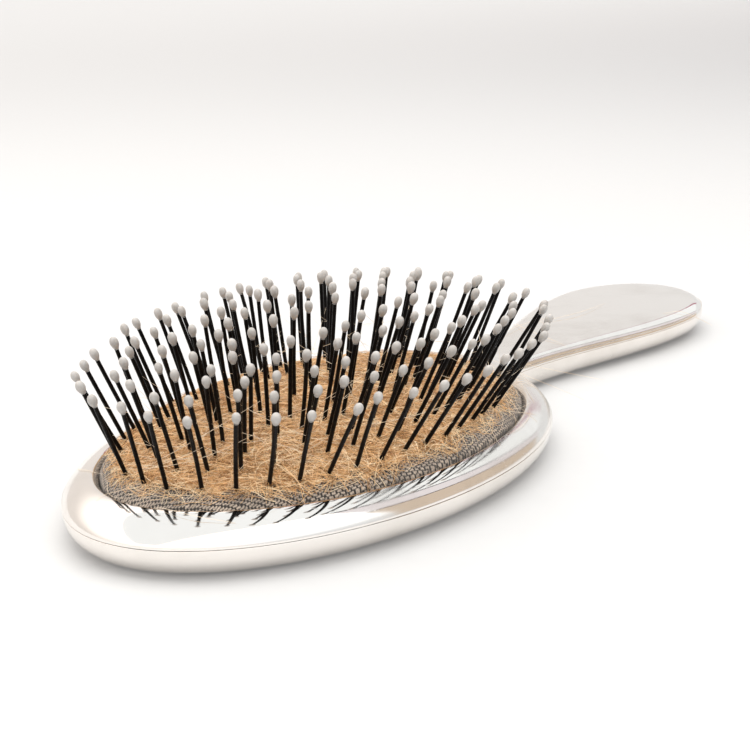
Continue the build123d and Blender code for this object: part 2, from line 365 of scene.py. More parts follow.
def back_shell_mesh(material):
    """The tray: a rounded side below the seam and a flat back."""
    shape = outline()
    share = handle_share(shape[0])
    reach = (BACK_REACH + (HANDLE_BACK_REACH - BACK_REACH) * share) * MM
    bottom = HANDLE_BOTTOM * share
    base = SEAM - groove_half(share)
    turns = np.linspace(0, math.pi / 2, CURL_STEPS)
    rows = groove_rows(shape, base, -1)
    rows += curl(shape, reach, base - SEAM_EDGE, bottom - base + SEAM_EDGE, BACK_CURL, turns)
    count = len(rows[-1])
    points = [p for row in rows for p in row]
    faces = [f[::-1] for r in range(len(rows) - 1) for f in band(r * count, (r + 1) * count, count)]
    start = (len(rows) - 1) * count
    more, more_faces, _ = across_rows(rows[-1], count // 2, BACK_COLUMNS, 0)
    points.extend(more)
    faces.extend(tuple(start + i for i in face)[::-1] for face in more_faces)
    return finish_shell("back_shell_skin", points, faces, material, "back_shell")


def face_outwards(piece):
    """Makes all faces of an open skin wind the same way, outwards."""
    shell = bmesh.new()
    shell.from_mesh(piece.data)
    bmesh.ops.recalc_face_normals(shell, faces=shell.faces)
    high = max(shell.faces, key=lambda face: abs(face.normal.z) * face.calc_area())
    above = high.calc_center_median().z > SEAM
    if (high.normal.z > 0) != above:
        bmesh.ops.reverse_faces(shell, faces=shell.faces)
    shell.to_mesh(piece.data)
    shell.free()


def finish_shell(name, points, faces, material, node):
    piece = new_piece(name, points, faces, material)
    face_outwards(piece)
    smooth = piece.modifiers.new("smooth", "SUBSURF")
    smooth.levels = smooth.render_levels = 1
    skin = piece.modifiers.new("skin", "SOLIDIFY")
    skin.thickness = SHELL_SKIN
    skin.offset = -1
    apply_modifiers(piece)
    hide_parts(node)
    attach(piece, "body")
    return piece


# ---------------------------------------------------------------- pins and ball tips
PIN_RADIUS = 0.4 * MM
TIP_RADIUS = 0.8 * MM
TIP_HALF = 1.25 * MM
PIN_STEPS = 12
PIN_SIDES = 12
TIP_STEPS = 14
TIP_SIDES = 18
SAME_POINT = 0.002 * MM
PIN_BEND = 0.16 * MM
PIN_EDGE_ANGLE = math.radians(50)
PIN_HEAD_SHARE = 0.03
PIN_HEAD_FLARE = 2.1
TIP_SCATTER = 0.035
TIP_SWELL = 0.10
TIP_POINT = 0.04 * MM


def solids_of(node):
    """Vertex arrays of the separate solids in one CAD node."""
    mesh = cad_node(node).data
    points = np.array([v.co for v in mesh.vertices])
    key, index = np.unique(np.round(points / SAME_POINT).astype(np.int64), axis=0, return_inverse=True)
    index = index.ravel()
    parent = list(range(len(key)))

    def root(i):
        while parent[i] != i:
            parent[i] = parent[parent[i]]
            i = parent[i]
        return i

    for edge in mesh.edges:
        a, b = root(index[edge.vertices[0]]), root(index[edge.vertices[1]])
        if a != b:
            parent[a] = b
    roots = np.array([root(i) for i in index])
    return [points[roots == r] for r in np.unique(roots)]


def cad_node(name):
    return frame["nodes"][name]


def axis_of(points):
    """Middle, upward unit axis and end-to-end length of one long solid."""
    centre = points.mean(axis=0)
    _, _, vectors = np.linalg.svd(points - centre)
    axis = vectors[0] if vectors[0][2] > 0 else -vectors[0]
    along = (points - centre) @ axis
    low, high = along.min(), along.max()
    return centre + axis * (low + high) / 2, axis, high - low


def foot_on_cushion(middle, axis):
    """Where a pin's axis meets the cushion."""
    point = middle.copy()
    for _ in range(12):
        point = point - axis * (point[2] - dome_height(point[0], point[1])) / axis[2]
    return point


def pin_mesh(name, node, pins, material):
    """Round bristles with the slight bend that use has given each of them."""
    paths, radii = [], []
    for middle, axis, length in pins:
        sideways = np.cross(axis, RNG.normal(size=3))
        sideways /= np.linalg.norm(sideways)
        bend = RNG.normal() * PIN_BEND
        u = np.linspace(0, 1, PIN_STEPS)
        along = (u - 0.5) * length
        bow = 4 * u * (1 - u) * bend
        paths.append(middle + along[:, None] * axis + bow[:, None] * sideways)
        shaft = PIN_RADIUS * (1.04 - 0.06 * u)
        radii.append(np.where(u < PIN_HEAD_SHARE, PIN_RADIUS * PIN_HEAD_FLARE, shaft))
    points, faces = tubes(np.array(paths), np.array(radii), PIN_SIDES)
    piece = new_piece(name, points, faces, material)
    piece.modifiers.new("edges", "EDGE_SPLIT").split_angle = PIN_EDGE_ANGLE
    apply_modifiers(piece)
    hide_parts(node)
    return piece


def tip_mesh(name, node, ends, material):
    """Long ball tips, a little fuller above the middle, each with a small collar where its pin goes in."""
    paths, radii = [], []
    for middle, axis in ends:
        size = 1 + RNG.normal() * TIP_SCATTER
        turn = np.linspace(-math.pi / 2, math.pi / 2, TIP_STEPS)
        along = np.sin(turn) * TIP_HALF * size
        swell = 1 + TIP_SWELL * np.sin(turn)
        radius = np.maximum(np.cos(turn) ** 0.9 * TIP_RADIUS * size * swell, TIP_POINT)
        radius[0] = PIN_RADIUS * 1.05
        radius[1] = max(radius[1], PIN_RADIUS * 1.2)
        paths.append(middle + along[:, None] * axis)
        radii.append(radius)
    points, faces = tubes(np.array(paths), np.array(radii), TIP_SIDES)
    piece = new_piece(name, points, faces, material)
    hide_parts(node)
    return piece


def build_bristles(pin_material, tip_material):
    """All pins and tips, on their ring's body. Gives back where each pin stands on the cushion."""
    feet = []
    for body, nodes in frame["record"]["behaviour"]["bodies"].items():
        for node in nodes:
            if not node.startswith("pins_"):
                continue
            pins = [axis_of(points) for points in solids_of(node)]
            feet.extend((foot_on_cushion(middle, axis), axis) for middle, axis, _ in pins)
            piece = pin_mesh(node.replace("pins", "bristles"), node, pins, pin_material)
            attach(piece, body)
            tip_node = node.replace("pins", "tips")
            ends = []
            for points in solids_of(tip_node):
                middle, _, _ = axis_of(points)
                nearest = min(pins, key=lambda p: np.linalg.norm(p[0] + p[1] * p[2] / 2 - middle))
                ends.append((middle, nearest[1]))
            piece = tip_mesh(node.replace("pins", "ball_tips"), tip_node, ends, tip_material)
            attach(piece, body)
    return feet


# ---------------------------------------------------------------- cushion
PAD_TURNS = 480
PAD_RINGS = 120
COLLAR_RISE, COLLAR_WIDTH = 0.22 * MM, 0.9 * MM
DIMPLE_DEPTH, DIMPLE_WIDTH = 0.12 * MM, 2.2 * MM
CANVAS_SINK = 0.02 * MM
CANVAS_THICKNESS = 0.35 * MM
MEMBRANE_DEPTH = 0.55 * MM
MEMBRANE_THICKNESS = 1.1 * MM


def nearest_feet(x, y, feet_xy):
    """Distance from each point to the nearest pin."""
    distance = np.full(x.shape, 1.0)
    for foot in feet_xy:
        np.minimum(distance, np.hypot(x - foot[0], y - foot[1]), out=distance)
    return distance


def cushion_grid(shares):
    """Points of the dome, ring by ring from its edge inwards, and the quads between the rings."""
    turn = np.linspace(0, 2 * math.pi, PAD_TURNS, endpoint=False)
    share = shares[:, None]
    x = (OPENING_LENGTH - PAD_GAP) * share * np.cos(turn)[None, :]
    wide = 1 + EGG * share * np.cos(turn)[None, :]
    y = (OPENING_WIDTH - PAD_GAP) * share * np.sin(turn)[None, :] * wide
    faces = []
    for ring in range(len(shares) - 1):
        faces.extend(band(ring * PAD_TURNS, (ring + 1) * PAD_TURNS, PAD_TURNS))
    return x, y, faces


def build_canvas(feet_xy, material):
    """Woven face of the cushion, drawn up into a small collar at the foot of each pin."""
    shares = np.sin(np.linspace(math.pi / 2, 0.01, PAD_RINGS))
    x, y, faces = cushion_grid(shares)
    away = nearest_feet(x, y, feet_xy)
    collar = COLLAR_RISE * np.exp(-((away / COLLAR_WIDTH) ** 2))
    collar -= DIMPLE_DEPTH * np.exp(-((away / DIMPLE_WIDTH) ** 2))
    z = dome_height(x, y) + collar * smoothstep(1.0, 0.93, oval_share(x, y)) - CANVAS_SINK
    wall = [np.column_stack([x[0], y[0], np.full(PAD_TURNS, LIP_UNDERSIDE)])]
    grid = np.stack([x, y, z], axis=2)
    points = np.concatenate(wall + [grid.reshape(-1, 3)])
    faces = band(0, PAD_TURNS, PAD_TURNS) + [tuple(i + PAD_TURNS for i in face) for face in faces]
    centre = len(points)
    points = np.vstack([points, [0, 0, PAD_EDGE + DOME_RISE]])
    last = centre - PAD_TURNS
    faces.extend((last + i, last + (i + 1) % PAD_TURNS, centre) for i in range(PAD_TURNS))
    piece = new_piece("canvas_face", points, faces, material)
    thick = piece.modifiers.new("thick", "SOLIDIFY")
    thick.thickness = CANVAS_THICKNESS
    thick.offset = -1
    apply_modifiers(piece)
    return piece


# ---------------------------------------------------------------- hair
MAT_EDGE = 0.945
MAT_STRANDS = 15000
STRAND_STEPS = 7
STRAND_WAVER = 0.13 * MM
STRAND_LIFT = 0.25 * MM
PIN_CLEARANCE = 0.62 * MM
BORDER_STRANDS = 4200
BORDER_REACH = 0.985
BORDER_START = 0.84
BORDER_RADIUS = 0.034 * MM
HOLE_WIDTH = 1.15 * MM
HOLE_DEPTH = 1.5 * MM
MAT_EDGE_DROP = 0.35 * MM
MAT_SKIN = 0.15 * MM


def mat_cover(x, y):
    """How far inside the hair mat a point is: above 0 inside it, with an uneven edge."""
    wander = np.array([noise.noise(Vector((a * 120, b * 120, 3.1))) for a, b in zip(x.ravel(), y.ravel())])
    bare = 0.11 * smoothstep(-10 * MM, 25 * MM, x) * smoothstep(4 * MM, -14 * MM, y)
    bare += 0.05 * smoothstep(-38 * MM, -50 * MM, x)
    return MAT_EDGE - bare - oval_share(x, y) + 0.07 * wander.reshape(x.shape)


def build_mat_bed(feet_xy, material):
    """Felted layer of hair between the pins, open round the foot of each pin."""
    shares = np.sqrt(np.linspace(0.97, 0.0001, PAD_RINGS))
    x, y, faces = cushion_grid(shares)
    away = nearest_feet(x, y, feet_xy)
    lumps = np.array([noise.noise(Vector((a * 420, b * 420, 8.3))) for a, b in zip(x.ravel(), y.ravel())])
    cover = smoothstep(-0.02, 0.10, mat_cover(x, y))
    hole = np.exp(-((away / HOLE_WIDTH) ** 2))
    height = (0.50 + 0.55 * lumps.reshape(x.shape)) * MM * cover - HOLE_DEPTH * hole
    height -= MAT_EDGE_DROP * (1 - cover)
    z = dome_height(x, y) + height
    points = np.stack([x, y, z], axis=2).reshape(-1, 3)
    last = len(points) - PAD_TURNS
    faces.append(tuple(last + i for i in range(PAD_TURNS)))
    piece = new_piece("hair_mat", points, faces, material)
    thick = piece.modifiers.new("thick", "SOLIDIFY")
    thick.thickness = MAT_SKIN
    thick.offset = -1
    apply_modifiers(piece)
    return piece


def strand_paths(count, reach, length_range, height_range, curl_strength, feet_xy):
    """Curved strands that lie on the cushion and go round the pins."""
    share = np.sqrt(RNG.uniform(0, 1, count)) * reach
    turn = RNG.uniform(0, 2 * math.pi, count)
    x = OPENING_LENGTH * share * np.cos(turn)
    y = OPENING_WIDTH * share * np.sin(turn)
    heading = RNG.uniform(0, 2 * math.pi, count)
    length = RNG.uniform(*length_range, count)
    bend = RNG.normal(0, curl_strength, count)
    twist = RNG.normal(0, curl_strength * 0.8, count)
    rows_x, rows_y = [x], [y]
    for step in range(STRAND_STEPS - 1):
        heading = heading + bend + twist * math.sin(step * 1.7)
        x = x + np.cos(heading) * length / (STRAND_STEPS - 1)
        y = y + np.sin(heading) * length / (STRAND_STEPS - 1)
        rows_x.append(x)
        rows_y.append(y)
    x, y = np.array(rows_x).T, np.array(rows_y).T
    x, y = clear_of_pins(x, y, feet_xy, PIN_CLEARANCE)
    height = RNG.uniform(*height_range, (count, 1)) * np.ones((1, STRAND_STEPS))
    height += RNG.normal(0, STRAND_WAVER, (count, STRAND_STEPS))
    lift = np.sin(np.linspace(0, math.pi, STRAND_STEPS))[None, :] * RNG.exponential(STRAND_LIFT, (count, 1))
    z = dome_height(x, y) + height + lift
    return np.stack([x, y, z], axis=2)


def clear_of_pins(x, y, feet_xy, gap):
    """Pushes points that lie inside a pin out to its side."""
    for foot in feet_xy:
        dx, dy = x - foot[0], y - foot[1]
        away = np.hypot(dx, dy) + 1e-9
        push = np.where(away < gap, gap / away, 1.0)
        x, y = foot[0] + dx * push, foot[1] + dy * push
    return x, y


def build_border_strands(name, feet_xy, material):
    """Thin scatter of single strands over the canvas border round the mat."""
    paths = strand_paths(BORDER_STRANDS, BORDER_REACH, (4 * MM, 15 * MM), (0.10 * MM, 0.45 * MM), 0.20,
                         feet_xy)
    share = oval_share(paths[:, :, 0], paths[:, :, 1])
    paths = paths[(share.max(axis=1) < BORDER_REACH) & (share.max(axis=1) > BORDER_START)]
    points, faces = tubes(paths, np.full(paths.shape[:2], BORDER_RADIUS), 3)
    return new_piece(name, points, faces, material)


def build_mat_strands(feet_xy, materials):
    """Fine strands that make the mat's surface, in several shades."""
    pieces = []
    for index, material in enumerate(materials):
        paths = strand_paths(MAT_STRANDS // len(materials), MAT_EDGE * 0.99, (4 * MM, 13 * MM),
                             (0.35 * MM, 1.35 * MM), 0.16, feet_xy)
        inside = mat_cover(paths[:, :, 0], paths[:, :, 1]).min(axis=1) > -0.05
        paths = paths[inside]
        thick = RNG.uniform(0.034, 0.058, (len(paths), 1)) * MM
        points, faces = tubes(paths, np.repeat(thick, STRAND_STEPS, axis=1), 3)
        pieces.append(new_piece(f"hair_strands_{index + 1}", points, faces, material))
    return pieces


# ---------------------------------------------------------------- materials
class Look:
    """A node material that is being put together, in object coordinates, in metres."""

    def __init__(self, name, **values):
        self.material = bpy.data.materials.new(name)
        self.material.use_nodes = True
        self.tree = self.material.node_tree
        self.shader = self.tree.nodes["Principled BSDF"]
        for socket, value in values.items():
            self.shader.inputs[socket.replace("_", " ")].default_value = value
        self.place = self.tree.nodes.new("ShaderNodeTexCoord").outputs["Object"]

    def add(self, kind, inputs, **settings):
        """A node with its settings and its inputs, each one a number, a colour or another node's output."""
        node = self.tree.nodes.new("ShaderNode" + kind)
        for name, value in settings.items():
            setattr(node, name, value)
        for name, value in inputs.items():
            if isinstance(value, bpy.types.NodeSocket):
                self.tree.links.new(value, node.inputs[name])
            else:
                node.inputs[name].default_value = value
        return node

    def drive(self, socket, value):
        self.tree.links.new(value, self.shader.inputs[socket])

    def math(self, operation, *values):
        return self.add("Math", dict(enumerate(values)), operation=operation).outputs[0]

    def turned(self, stretch, turn=(0, 0, 0)):
        """Coordinates turned and then stretched, for a grain that runs one way."""
        spun = self.add("VectorRotate", {"Vector": self.place, "Rotation": turn}, rotation_type="EULER_XYZ")
        return self.add("Mapping", {"Vector": spun.outputs[0], "Scale": stretch}).outputs[0]

    def noise(self, scale, detail=4, roughness=0.55, place=None):
        inputs = {"Vector": place or self.place, "Scale": scale, "Detail": detail, "Roughness": roughness}
        return self.add("TexNoise", inputs).outputs["Fac"]

    def spread(self, value, low, high, to_low, to_high):
        """Takes a value's stretch from low to high onto another stretch."""
        inputs = {"Value": value, "From Min": low, "From Max": high, "To Min": to_low, "To Max": to_high}
        return self.add("MapRange", inputs, interpolation_type="SMOOTHSTEP").outputs[0]

    def mix(self, share, first, second):
        inputs = {"Factor": share, "A": first, "B": second}
        node = self.tree.nodes.new("ShaderNodeMix")
        node.data_type = "RGBA"
        for name, index in (("Factor", 0), ("A", 6), ("B", 7)):
            value = inputs[name]
            if isinstance(value, bpy.types.NodeSocket):
                self.tree.links.new(value, node.inputs[index])
            else:
                node.inputs[index].default_value = value if name == "Factor" else (*value, 1)
        return node.outputs[2]

    def bump(self, height, distance, strength=1.0, over=None):
        inputs = {"Height": height, "Distance": distance, "Strength": strength}
        if over:
            inputs["Normal"] = over
        return self.add("Bump", inputs).outputs[0]


def plated_look():
    """Mirror plating on moulded plastic: a little wavy, finely scratched and hazed by handling."""
    look = Look("plated_shell", Metallic=1.0)
    haze = look.noise(55, 6, 0.62)
    hand = look.noise(17, 3, 0.5)
    worn = look.math("MULTIPLY", haze, hand)
    tarnish = look.spread(worn, 0.18, 0.36, 0, 1)
    look.drive("Base Color", look.mix(tarnish, (0.90, 0.86, 0.82), (0.82, 0.78, 0.735)))
    scratch_along = look.noise(1, 2, 0.5, look.turned((60, 2600, 2600), (0, 0, 0.25)))
    scratch_across = look.noise(1, 2, 0.5, look.turned((2300, 90, 2300), (0, 0, -0.5)))
    scratches = look.math("MAXIMUM", look.spread(scratch_along, 0.66, 0.74, 0, 1),
                          look.spread(scratch_across, 0.68, 0.76, 0, 1))
    hazy = look.spread(worn, 0.14, 0.40, 0.05, 0.20)
    rough = look.math("ADD", hazy, look.math("MULTIPLY", scratches, 0.12))
    look.drive("Roughness", rough)
    waves = look.bump(look.noise(34, 2, 0.4), 0.16 * MM, 0.55)
    ripples = look.bump(look.noise(260, 2, 0.5), 0.0035 * MM, 0.6, waves)
    look.drive("Normal", look.bump(scratches, 0.002 * MM, 0.5, ripples))
    return look.material


def canvas_look():
    """Dark cotton twill: light weft dashes that step sideways from one row to the next. Each dash is painted
    lighter on its rounded top and darker towards its sides: painted sheen and shade.
    """
    look = Look("cushion_canvas", Roughness=0.85)
    look.shader.inputs["Sheen Weight"].default_value = 0.2
    pitch = 0.42 * MM
    split = look.add("SeparateXYZ", {"Vector": look.turned((1 / pitch, 1 / pitch, 1 / pitch), (0, 0, 0.3))})
    sway = look.math("MULTIPLY", look.math("SUBTRACT", look.noise(1100, 2), 0.5), 1.7)
    u = look.math("ADD", split.outputs[0], sway)
    v = look.math("ADD", split.outputs[1], sway)
    column, row = look.math("FLOOR", u), look.math("FLOOR", v)
    step = look.math("FLOORED_MODULO", look.math("ADD", column, row), 3.0)
    weft_up = look.math("LESS_THAN", step, 1.5)
    weft = yarn_round(look, v)
    warp = yarn_round(look, u)
    height = look.add("Mix", {0: weft_up, 2: warp, 3: weft}).outputs[0]
    fuzz = look.noise(5200, 3)
    # painted sheen and shade: the weft's light colour follows the yarn's rounded height, so each dash is
    # lightest on top and darker at its sides
    weft_and_painted_sheen = look.math("MULTIPLY", look.math("MULTIPLY", weft_up, weft), look.spread(fuzz, 0.3, 0.6, 0.45, 1))
    faded = look.spread(look.noise(160, 3), 0.35, 0.65, 0.65, 1.0)
    dark = look.mix(look.noise(300), (0.036, 0.029, 0.024), (0.016, 0.013, 0.011))
    light = look.mix(look.noise(240), (0.56, 0.46, 0.37), (0.45, 0.365, 0.29))
    look.drive("Base Color", look.mix(look.math("MULTIPLY", weft_and_painted_sheen, faded), dark, light))
    weave = look.bump(height, 0.10 * MM, 0.8)
    look.drive("Normal", look.bump(fuzz, 0.03 * MM, 0.6, weave))
    return look.material


def yarn_round(look, across):
    """Height of a round yarn across its width, from 0 at its sides to 1 on top."""
    side = look.math("SUBTRACT", look.math("MULTIPLY", look.math("FRACT", across), 2.0), 1.0)
    return look.math("SUBTRACT", 1.0, look.math("MULTIPLY", side, side))


def rubber_look():
    """Black moulded rubber with a fine matt skin."""
    look = Look("cushion_rubber")
    dust = look.noise(420, 5)
    look.drive("Base Color", look.mix(dust, (0.030, 0.029, 0.028), (0.050, 0.047, 0.044)))
    look.drive("Roughness", look.spread(dust, 0.3, 0.7, 0.62, 0.85))
    look.drive("Normal", look.bump(look.noise(6000, 2), 0.01 * MM, 0.5))
    return look.material


def nylon_look():
    """Black drawn nylon, semi-gloss, with die lines and a little dust."""
    look = Look("pin_nylon")
    look.shader.inputs["Specular IOR Level"].default_value = 0.08
    lines = look.noise(1, 2, 0.5, look.turned((5200, 5200, 260)))
    dust = look.noise(700, 4)
    dusty = look.spread(dust, 0.45, 0.75, 0, 1)
    look.drive("Base Color", look.mix(dusty, (0.0030, 0.0025, 0.0027), (0.010, 0.008, 0.007)))
    look.drive("Roughness", look.spread(lines, 0.3, 0.7, 0.24, 0.42))
    look.drive("Normal", look.bump(lines, 0.006 * MM, 0.5))
    return look.material


def resin_look():
    """Off-white dipped resin, slightly see-through, with a satin skin."""
    look = Look("tip_resin")
    look.shader.inputs["Subsurface Weight"].default_value = 0.12
    look.shader.inputs["Subsurface Scale"].default_value = 0.6 * MM
    look.shader.inputs["Subsurface Radius"].default_value = (1.0, 0.7, 0.5)
    blotch = look.noise(620, 4)
    stained = look.spread(blotch, 0.35, 0.7, 0, 1)
    look.drive("Base Color", look.mix(stained, (0.44, 0.42, 0.40), (0.36, 0.34, 0.32)))
    look.drive("Roughness", look.spread(blotch, 0.3, 0.7, 0.34, 0.5))
    look.drive("Normal", look.bump(look.noise(2600, 2), 0.012 * MM, 0.5))
    return look.material


def hair_look(name, light, dark):
    """Fine animal hair: lighter and darker along its length, with a soft shine."""
    look = Look(name, Roughness=0.5)
    look.shader.inputs["Specular IOR Level"].default_value = 0.25
    along = look.noise(430, 3)
    look.drive("Base Color", look.mix(look.spread(along, 0.35, 0.65, 0, 1), light, dark))
    look.drive("Normal", look.bump(look.noise(9000, 2), 0.004 * MM, 0.4))
    return look.material


def mat_look():
    """The felted depth of the mat: short crossing fibres with dark gaps between them. The gaps are painted
    shade that stands for the depth of the felt.
    """
    look = Look("hair_mat", Roughness=0.7)
    one = look.noise(1, 3, 0.6, look.turned((3600, 520, 900), (0, 0, 0.6)))
    two = look.noise(1, 3, 0.6, look.turned((3600, 520, 900), (0, 0, -0.9)))
    three = look.noise(1, 3, 0.6, look.turned((3600, 520, 900), (0, 0, 2.0)))
    fibres = look.math("MAXIMUM", look.math("MAXIMUM", one, two), three)
    share = look.spread(fibres, 0.48, 0.72, 0, 1)
    # painted shade: the colour between the fibres is a darker brown, standing for shade deep in the felt
    low = look.mix(look.noise(130, 3), (0.64, 0.39, 0.19), (0.42, 0.235, 0.10))
    look.drive("Base Color", look.mix(share, low, (0.90, 0.60, 0.32)))
    look.drive("Normal", look.bump(fibres, 0.16 * MM, 0.9))
    return look.material


def clamp_look():
    """Natural grey engineering plastic with moulding grain."""
    look = Look("clamp_plastic")
    grain = look.noise(900, 4)
    look.drive("Base Color", look.mix(grain, (0.30, 0.30, 0.29), (0.38, 0.37, 0.36)))
    look.drive("Roughness", look.spread(grain, 0.3, 0.7, 0.42, 0.6))
    look.drive("Normal", look.bump(look.noise(3000, 2), 0.008 * MM, 0.5))
    return look.material


# ---------------------------------------------------------------- pieces on the cushion
def press_with_cushion(piece):
    """Gives the piece its own mesh and puts it on the brush's body."""
    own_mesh(piece)
    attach(piece, "body")
    return piece


def build_membrane(material):
    """Rubber membrane just under the canvas, down to the lip's underside."""
    shares = np.sin(np.linspace(math.pi / 2, 0.02, 40))
    x, y, faces = cushion_grid(shares)
    inward = 1 - MEMBRANE_DEPTH / OPENING_WIDTH
    z = dome_height(x, y) - MEMBRANE_DEPTH
    points = np.stack([x * inward, y * inward, z], axis=2).reshape(-1, 3)
    wall = np.column_stack([x[0] * inward, y[0] * inward, np.full(PAD_TURNS, LIP_UNDERSIDE)])
    points = np.concatenate([wall, points])
    faces = band(0, PAD_TURNS, PAD_TURNS) + [tuple(i + PAD_TURNS for i in face) for face in faces]
    last = len(points) - PAD_TURNS
    faces.append(tuple(last + i for i in range(PAD_TURNS)))
    piece = new_piece("membrane", points, faces, material)
    thick = piece.modifiers.new("thick", "SOLIDIFY")
    thick.thickness = MEMBRANE_THICKNESS
    thick.offset = -1
    apply_modifiers(piece)
    return piece


# ---------------------------------------------------------------- loose hair
LOOSE_STEPS = 26
CAUGHT_HAIRS = 110
LOOSE_RADIUS = 0.036 * MM
RIM_HAIR_REACH = 1.12


def surface_of(pieces):
    """Search tree over the outside of the pieces, to lay hair on them."""
    points, faces = [], []
    for piece in pieces:
        start = len(points)
        points.extend(v.co[:] for v in piece.data.vertices)
        faces.extend([start + i for i in face.vertices] for face in piece.data.polygons)
    return bvhtree.BVHTree.FromPolygons(points, faces)


def height_under(tree, x, y, otherwise):
    """Height of the surface right under a point, or another height beside the brush."""
    hit = tree.ray_cast(Vector((x, y, 60 * MM)), Vector((0, 0, -1)))[0]
    return hit[2] if hit else otherwise


def laid_hair(tree, start, heading, length, bend, lift):
    """One springy hair: it bridges hollows, rests on the high places and arches a little between them."""
    x, y = [start[0]], [start[1]]
    step = length / (LOOSE_STEPS - 1)
    for index in range(LOOSE_STEPS - 1):
        heading += bend * (1 + 0.5 * math.sin(index * 0.35 + start[0] * 400)) / LOOSE_STEPS
        x.append(x[-1] + step * math.cos(heading))
        y.append(y[-1] + step * math.sin(heading))
    x, y = np.array(x), np.array(y)
    ground = []
    for a, b in zip(x, y):
        ground.append(height_under(tree, a, b, (ground[-1] - 0.25 * MM) if ground else PAD_EDGE))
    ground = np.array(ground)
    smooth = ground.copy()
    for _ in range(40):
        smooth[1:-1] = np.maximum(ground[1:-1], (smooth[:-2] + smooth[2:]) / 2)
    arch = np.sin(np.linspace(0, math.pi, LOOSE_STEPS)) * lift
    return np.column_stack([x, y, smooth + LOOSE_RADIUS * 1.6 + arch])


def rim_hairs(tree):
    """Hairs that lie over the canvas border and the rim. Each has its place round the pad and its heading."""
    hairs = []
    crowded = [(-58, 34), (-30, 46), (168, 20), (120, 14), (60, 12), (20, 14)]
    for middle, count in crowded:
        for _ in range(count):
            turn = math.radians(middle + RNG.normal() * 13)
            share = RNG.uniform(0.84, 1.06)
            x = OPENING_LENGTH * share * math.cos(turn)
            y = OPENING_WIDTH * share * math.sin(turn)
            heading = turn + math.pi / 2 * RNG.choice([-1, 1]) + RNG.normal() * 0.75
            hair = laid_hair(tree, (x, y), heading, RNG.uniform(5, 19) * MM, RNG.normal() * 1.1,
                             RNG.exponential(0.35) * MM)
            if oval_share(hair[:, 0], hair[:, 1]).max() < RIM_HAIR_REACH:
                hairs.append(hair)
    return hairs


def handle_hairs(tree):
    """A few long hairs across the neck and the handle."""
    places = [(56, -6, 0.55, 34, 0.5), (66, -4, -0.9, 26, 0.4), (70, 5, 0.3, 42, -0.5),
              (88, -9, 1.25, 30, -0.6), (62, -7, -1.35, 18, 0.3), (104, 8, -0.5, 30, 0.7),
              (131, -15, -0.75, 16, 0.4), (60, 3, -0.2, 24, 0.9)]
    return [laid_hair(tree, (x * MM, y * MM), heading, length * MM, bend, 0.5 * MM)
            for x, y, heading, length, bend in places]


def caught_hairs(count, feet):
    """Long hairs strung between the bristles, some way up them."""
    hairs = []
    for _ in range(count):
        first = feet[int(RNG.integers(len(feet)))]
        near = [f for f in feet if 4 * MM < np.linalg.norm(f[0] - first[0]) < 22 * MM]
        second = near[int(RNG.integers(len(near)))]
        start = first[0] + first[1] * RNG.uniform(0.5, 15) * MM
        end = second[0] + second[1] * RNG.exponential(3.5) * MM
        side = np.cross(end - start, (0, 0, 1.0))
        side /= np.linalg.norm(side) + 1e-9
        u = np.linspace(-0.15, 1.1, LOOSE_STEPS)
        path = start + u[:, None] * (end - start)
        bow = 4 * u * (1 - u)
        path += (bow * RNG.normal() * 2.2 * MM)[:, None] * side
        path[:, 2] -= bow * RNG.uniform(0, 2.5) * MM
        floor = dome_height(path[:, 0], path[:, 1]) + 0.4 * MM
        path[:, 2] = np.maximum(path[:, 2], floor)
        hairs.append(path)
    return hairs


def hair_piece(name, hairs, material, radius):
    """One mesh of single hairs that thin out towards both ends."""
    paths = np.array(hairs)
    taper = 1 - 0.55 * np.abs(np.linspace(-1, 1, paths.shape[1])) ** 3
    radii = radius * RNG.uniform(0.75, 1.15, (len(paths), 1)) * taper[None, :]
    points, faces = tubes(paths, radii, 4)
    return new_piece(name, points, faces, material)


# ---------------------------------------------------------------- floor, lights and camera
CARD_DISTANCE = 0.9
TOP_LIGHT_HALF = 0.4
TOP_LIGHT_HEIGHT = 0.7
TOP_LIGHT_COLOUR = (1.0, 0.98, 0.95)
TOP_LIGHT_STRENGTH = 4.0
# Cards round the brush: name, low and high angle, start and end along the brush, colour, strength
STUDIO_CARDS = [
    ("soft_box", 56, 110, -3.0, 3.6, (0.95, 0.985, 1.0), 1.08),
    ("box_edge", 110, 112, 0.3, 3.6, (0.06, 0.05, 0.05), 1.0),
    ("grey_flag", 112, 130, 0.3, 3.6, (0.96, 0.92, 0.95), 0.92),
    ("flag_edge", 130, 132, 0.3, 3.6, (0.06, 0.05, 0.05), 1.0),
    ("warm_wall", 132, 176, 0.3, 3.6, (0.86, 0.72, 0.585), 0.82),
    ("red_strip", 50, 56, 0.8, 3.6, (0.36, 0.02, 0.09), 1.0),
]
FLOOR_SIZE = 14.0
CAMERA_AZIMUTH = -56.06
CAMERA_ELEVATION = 15.59
CAMERA_ROLL = -0.5
CAMERA_DISTANCE = 0.35211
CAMERA_AIM = Vector((0.042885, 0.016083, 0.008))
CAMERA_LENS = 74.92


def floor_look():
    """Pale matt paper with a faint glow of its own, which lifts the shadows on it."""
    look = Look("floor_paper", Roughness=0.6)
    look.shader.inputs["Emission Color"].default_value = (0.98, 0.99, 1.0, 1)
    look.shader.inputs["Emission Strength"].default_value = 0.10
    grain = look.noise(240, 5)
    look.drive("Base Color", look.mix(grain, (0.50, 0.50, 0.50), (0.48, 0.48, 0.48)))
    look.drive("Normal", look.bump(grain, 0.02 * MM, 0.3))
    return look.material


def build_floor():
    half = FLOOR_SIZE / 2
    corners = [(-half, -half, 0), (half, -half, 0), (half, half, 0), (-half, half, 0)]
    floor = new_piece("floor", corners, [(0, 1, 2, 3)], floor_look(), smooth=False)


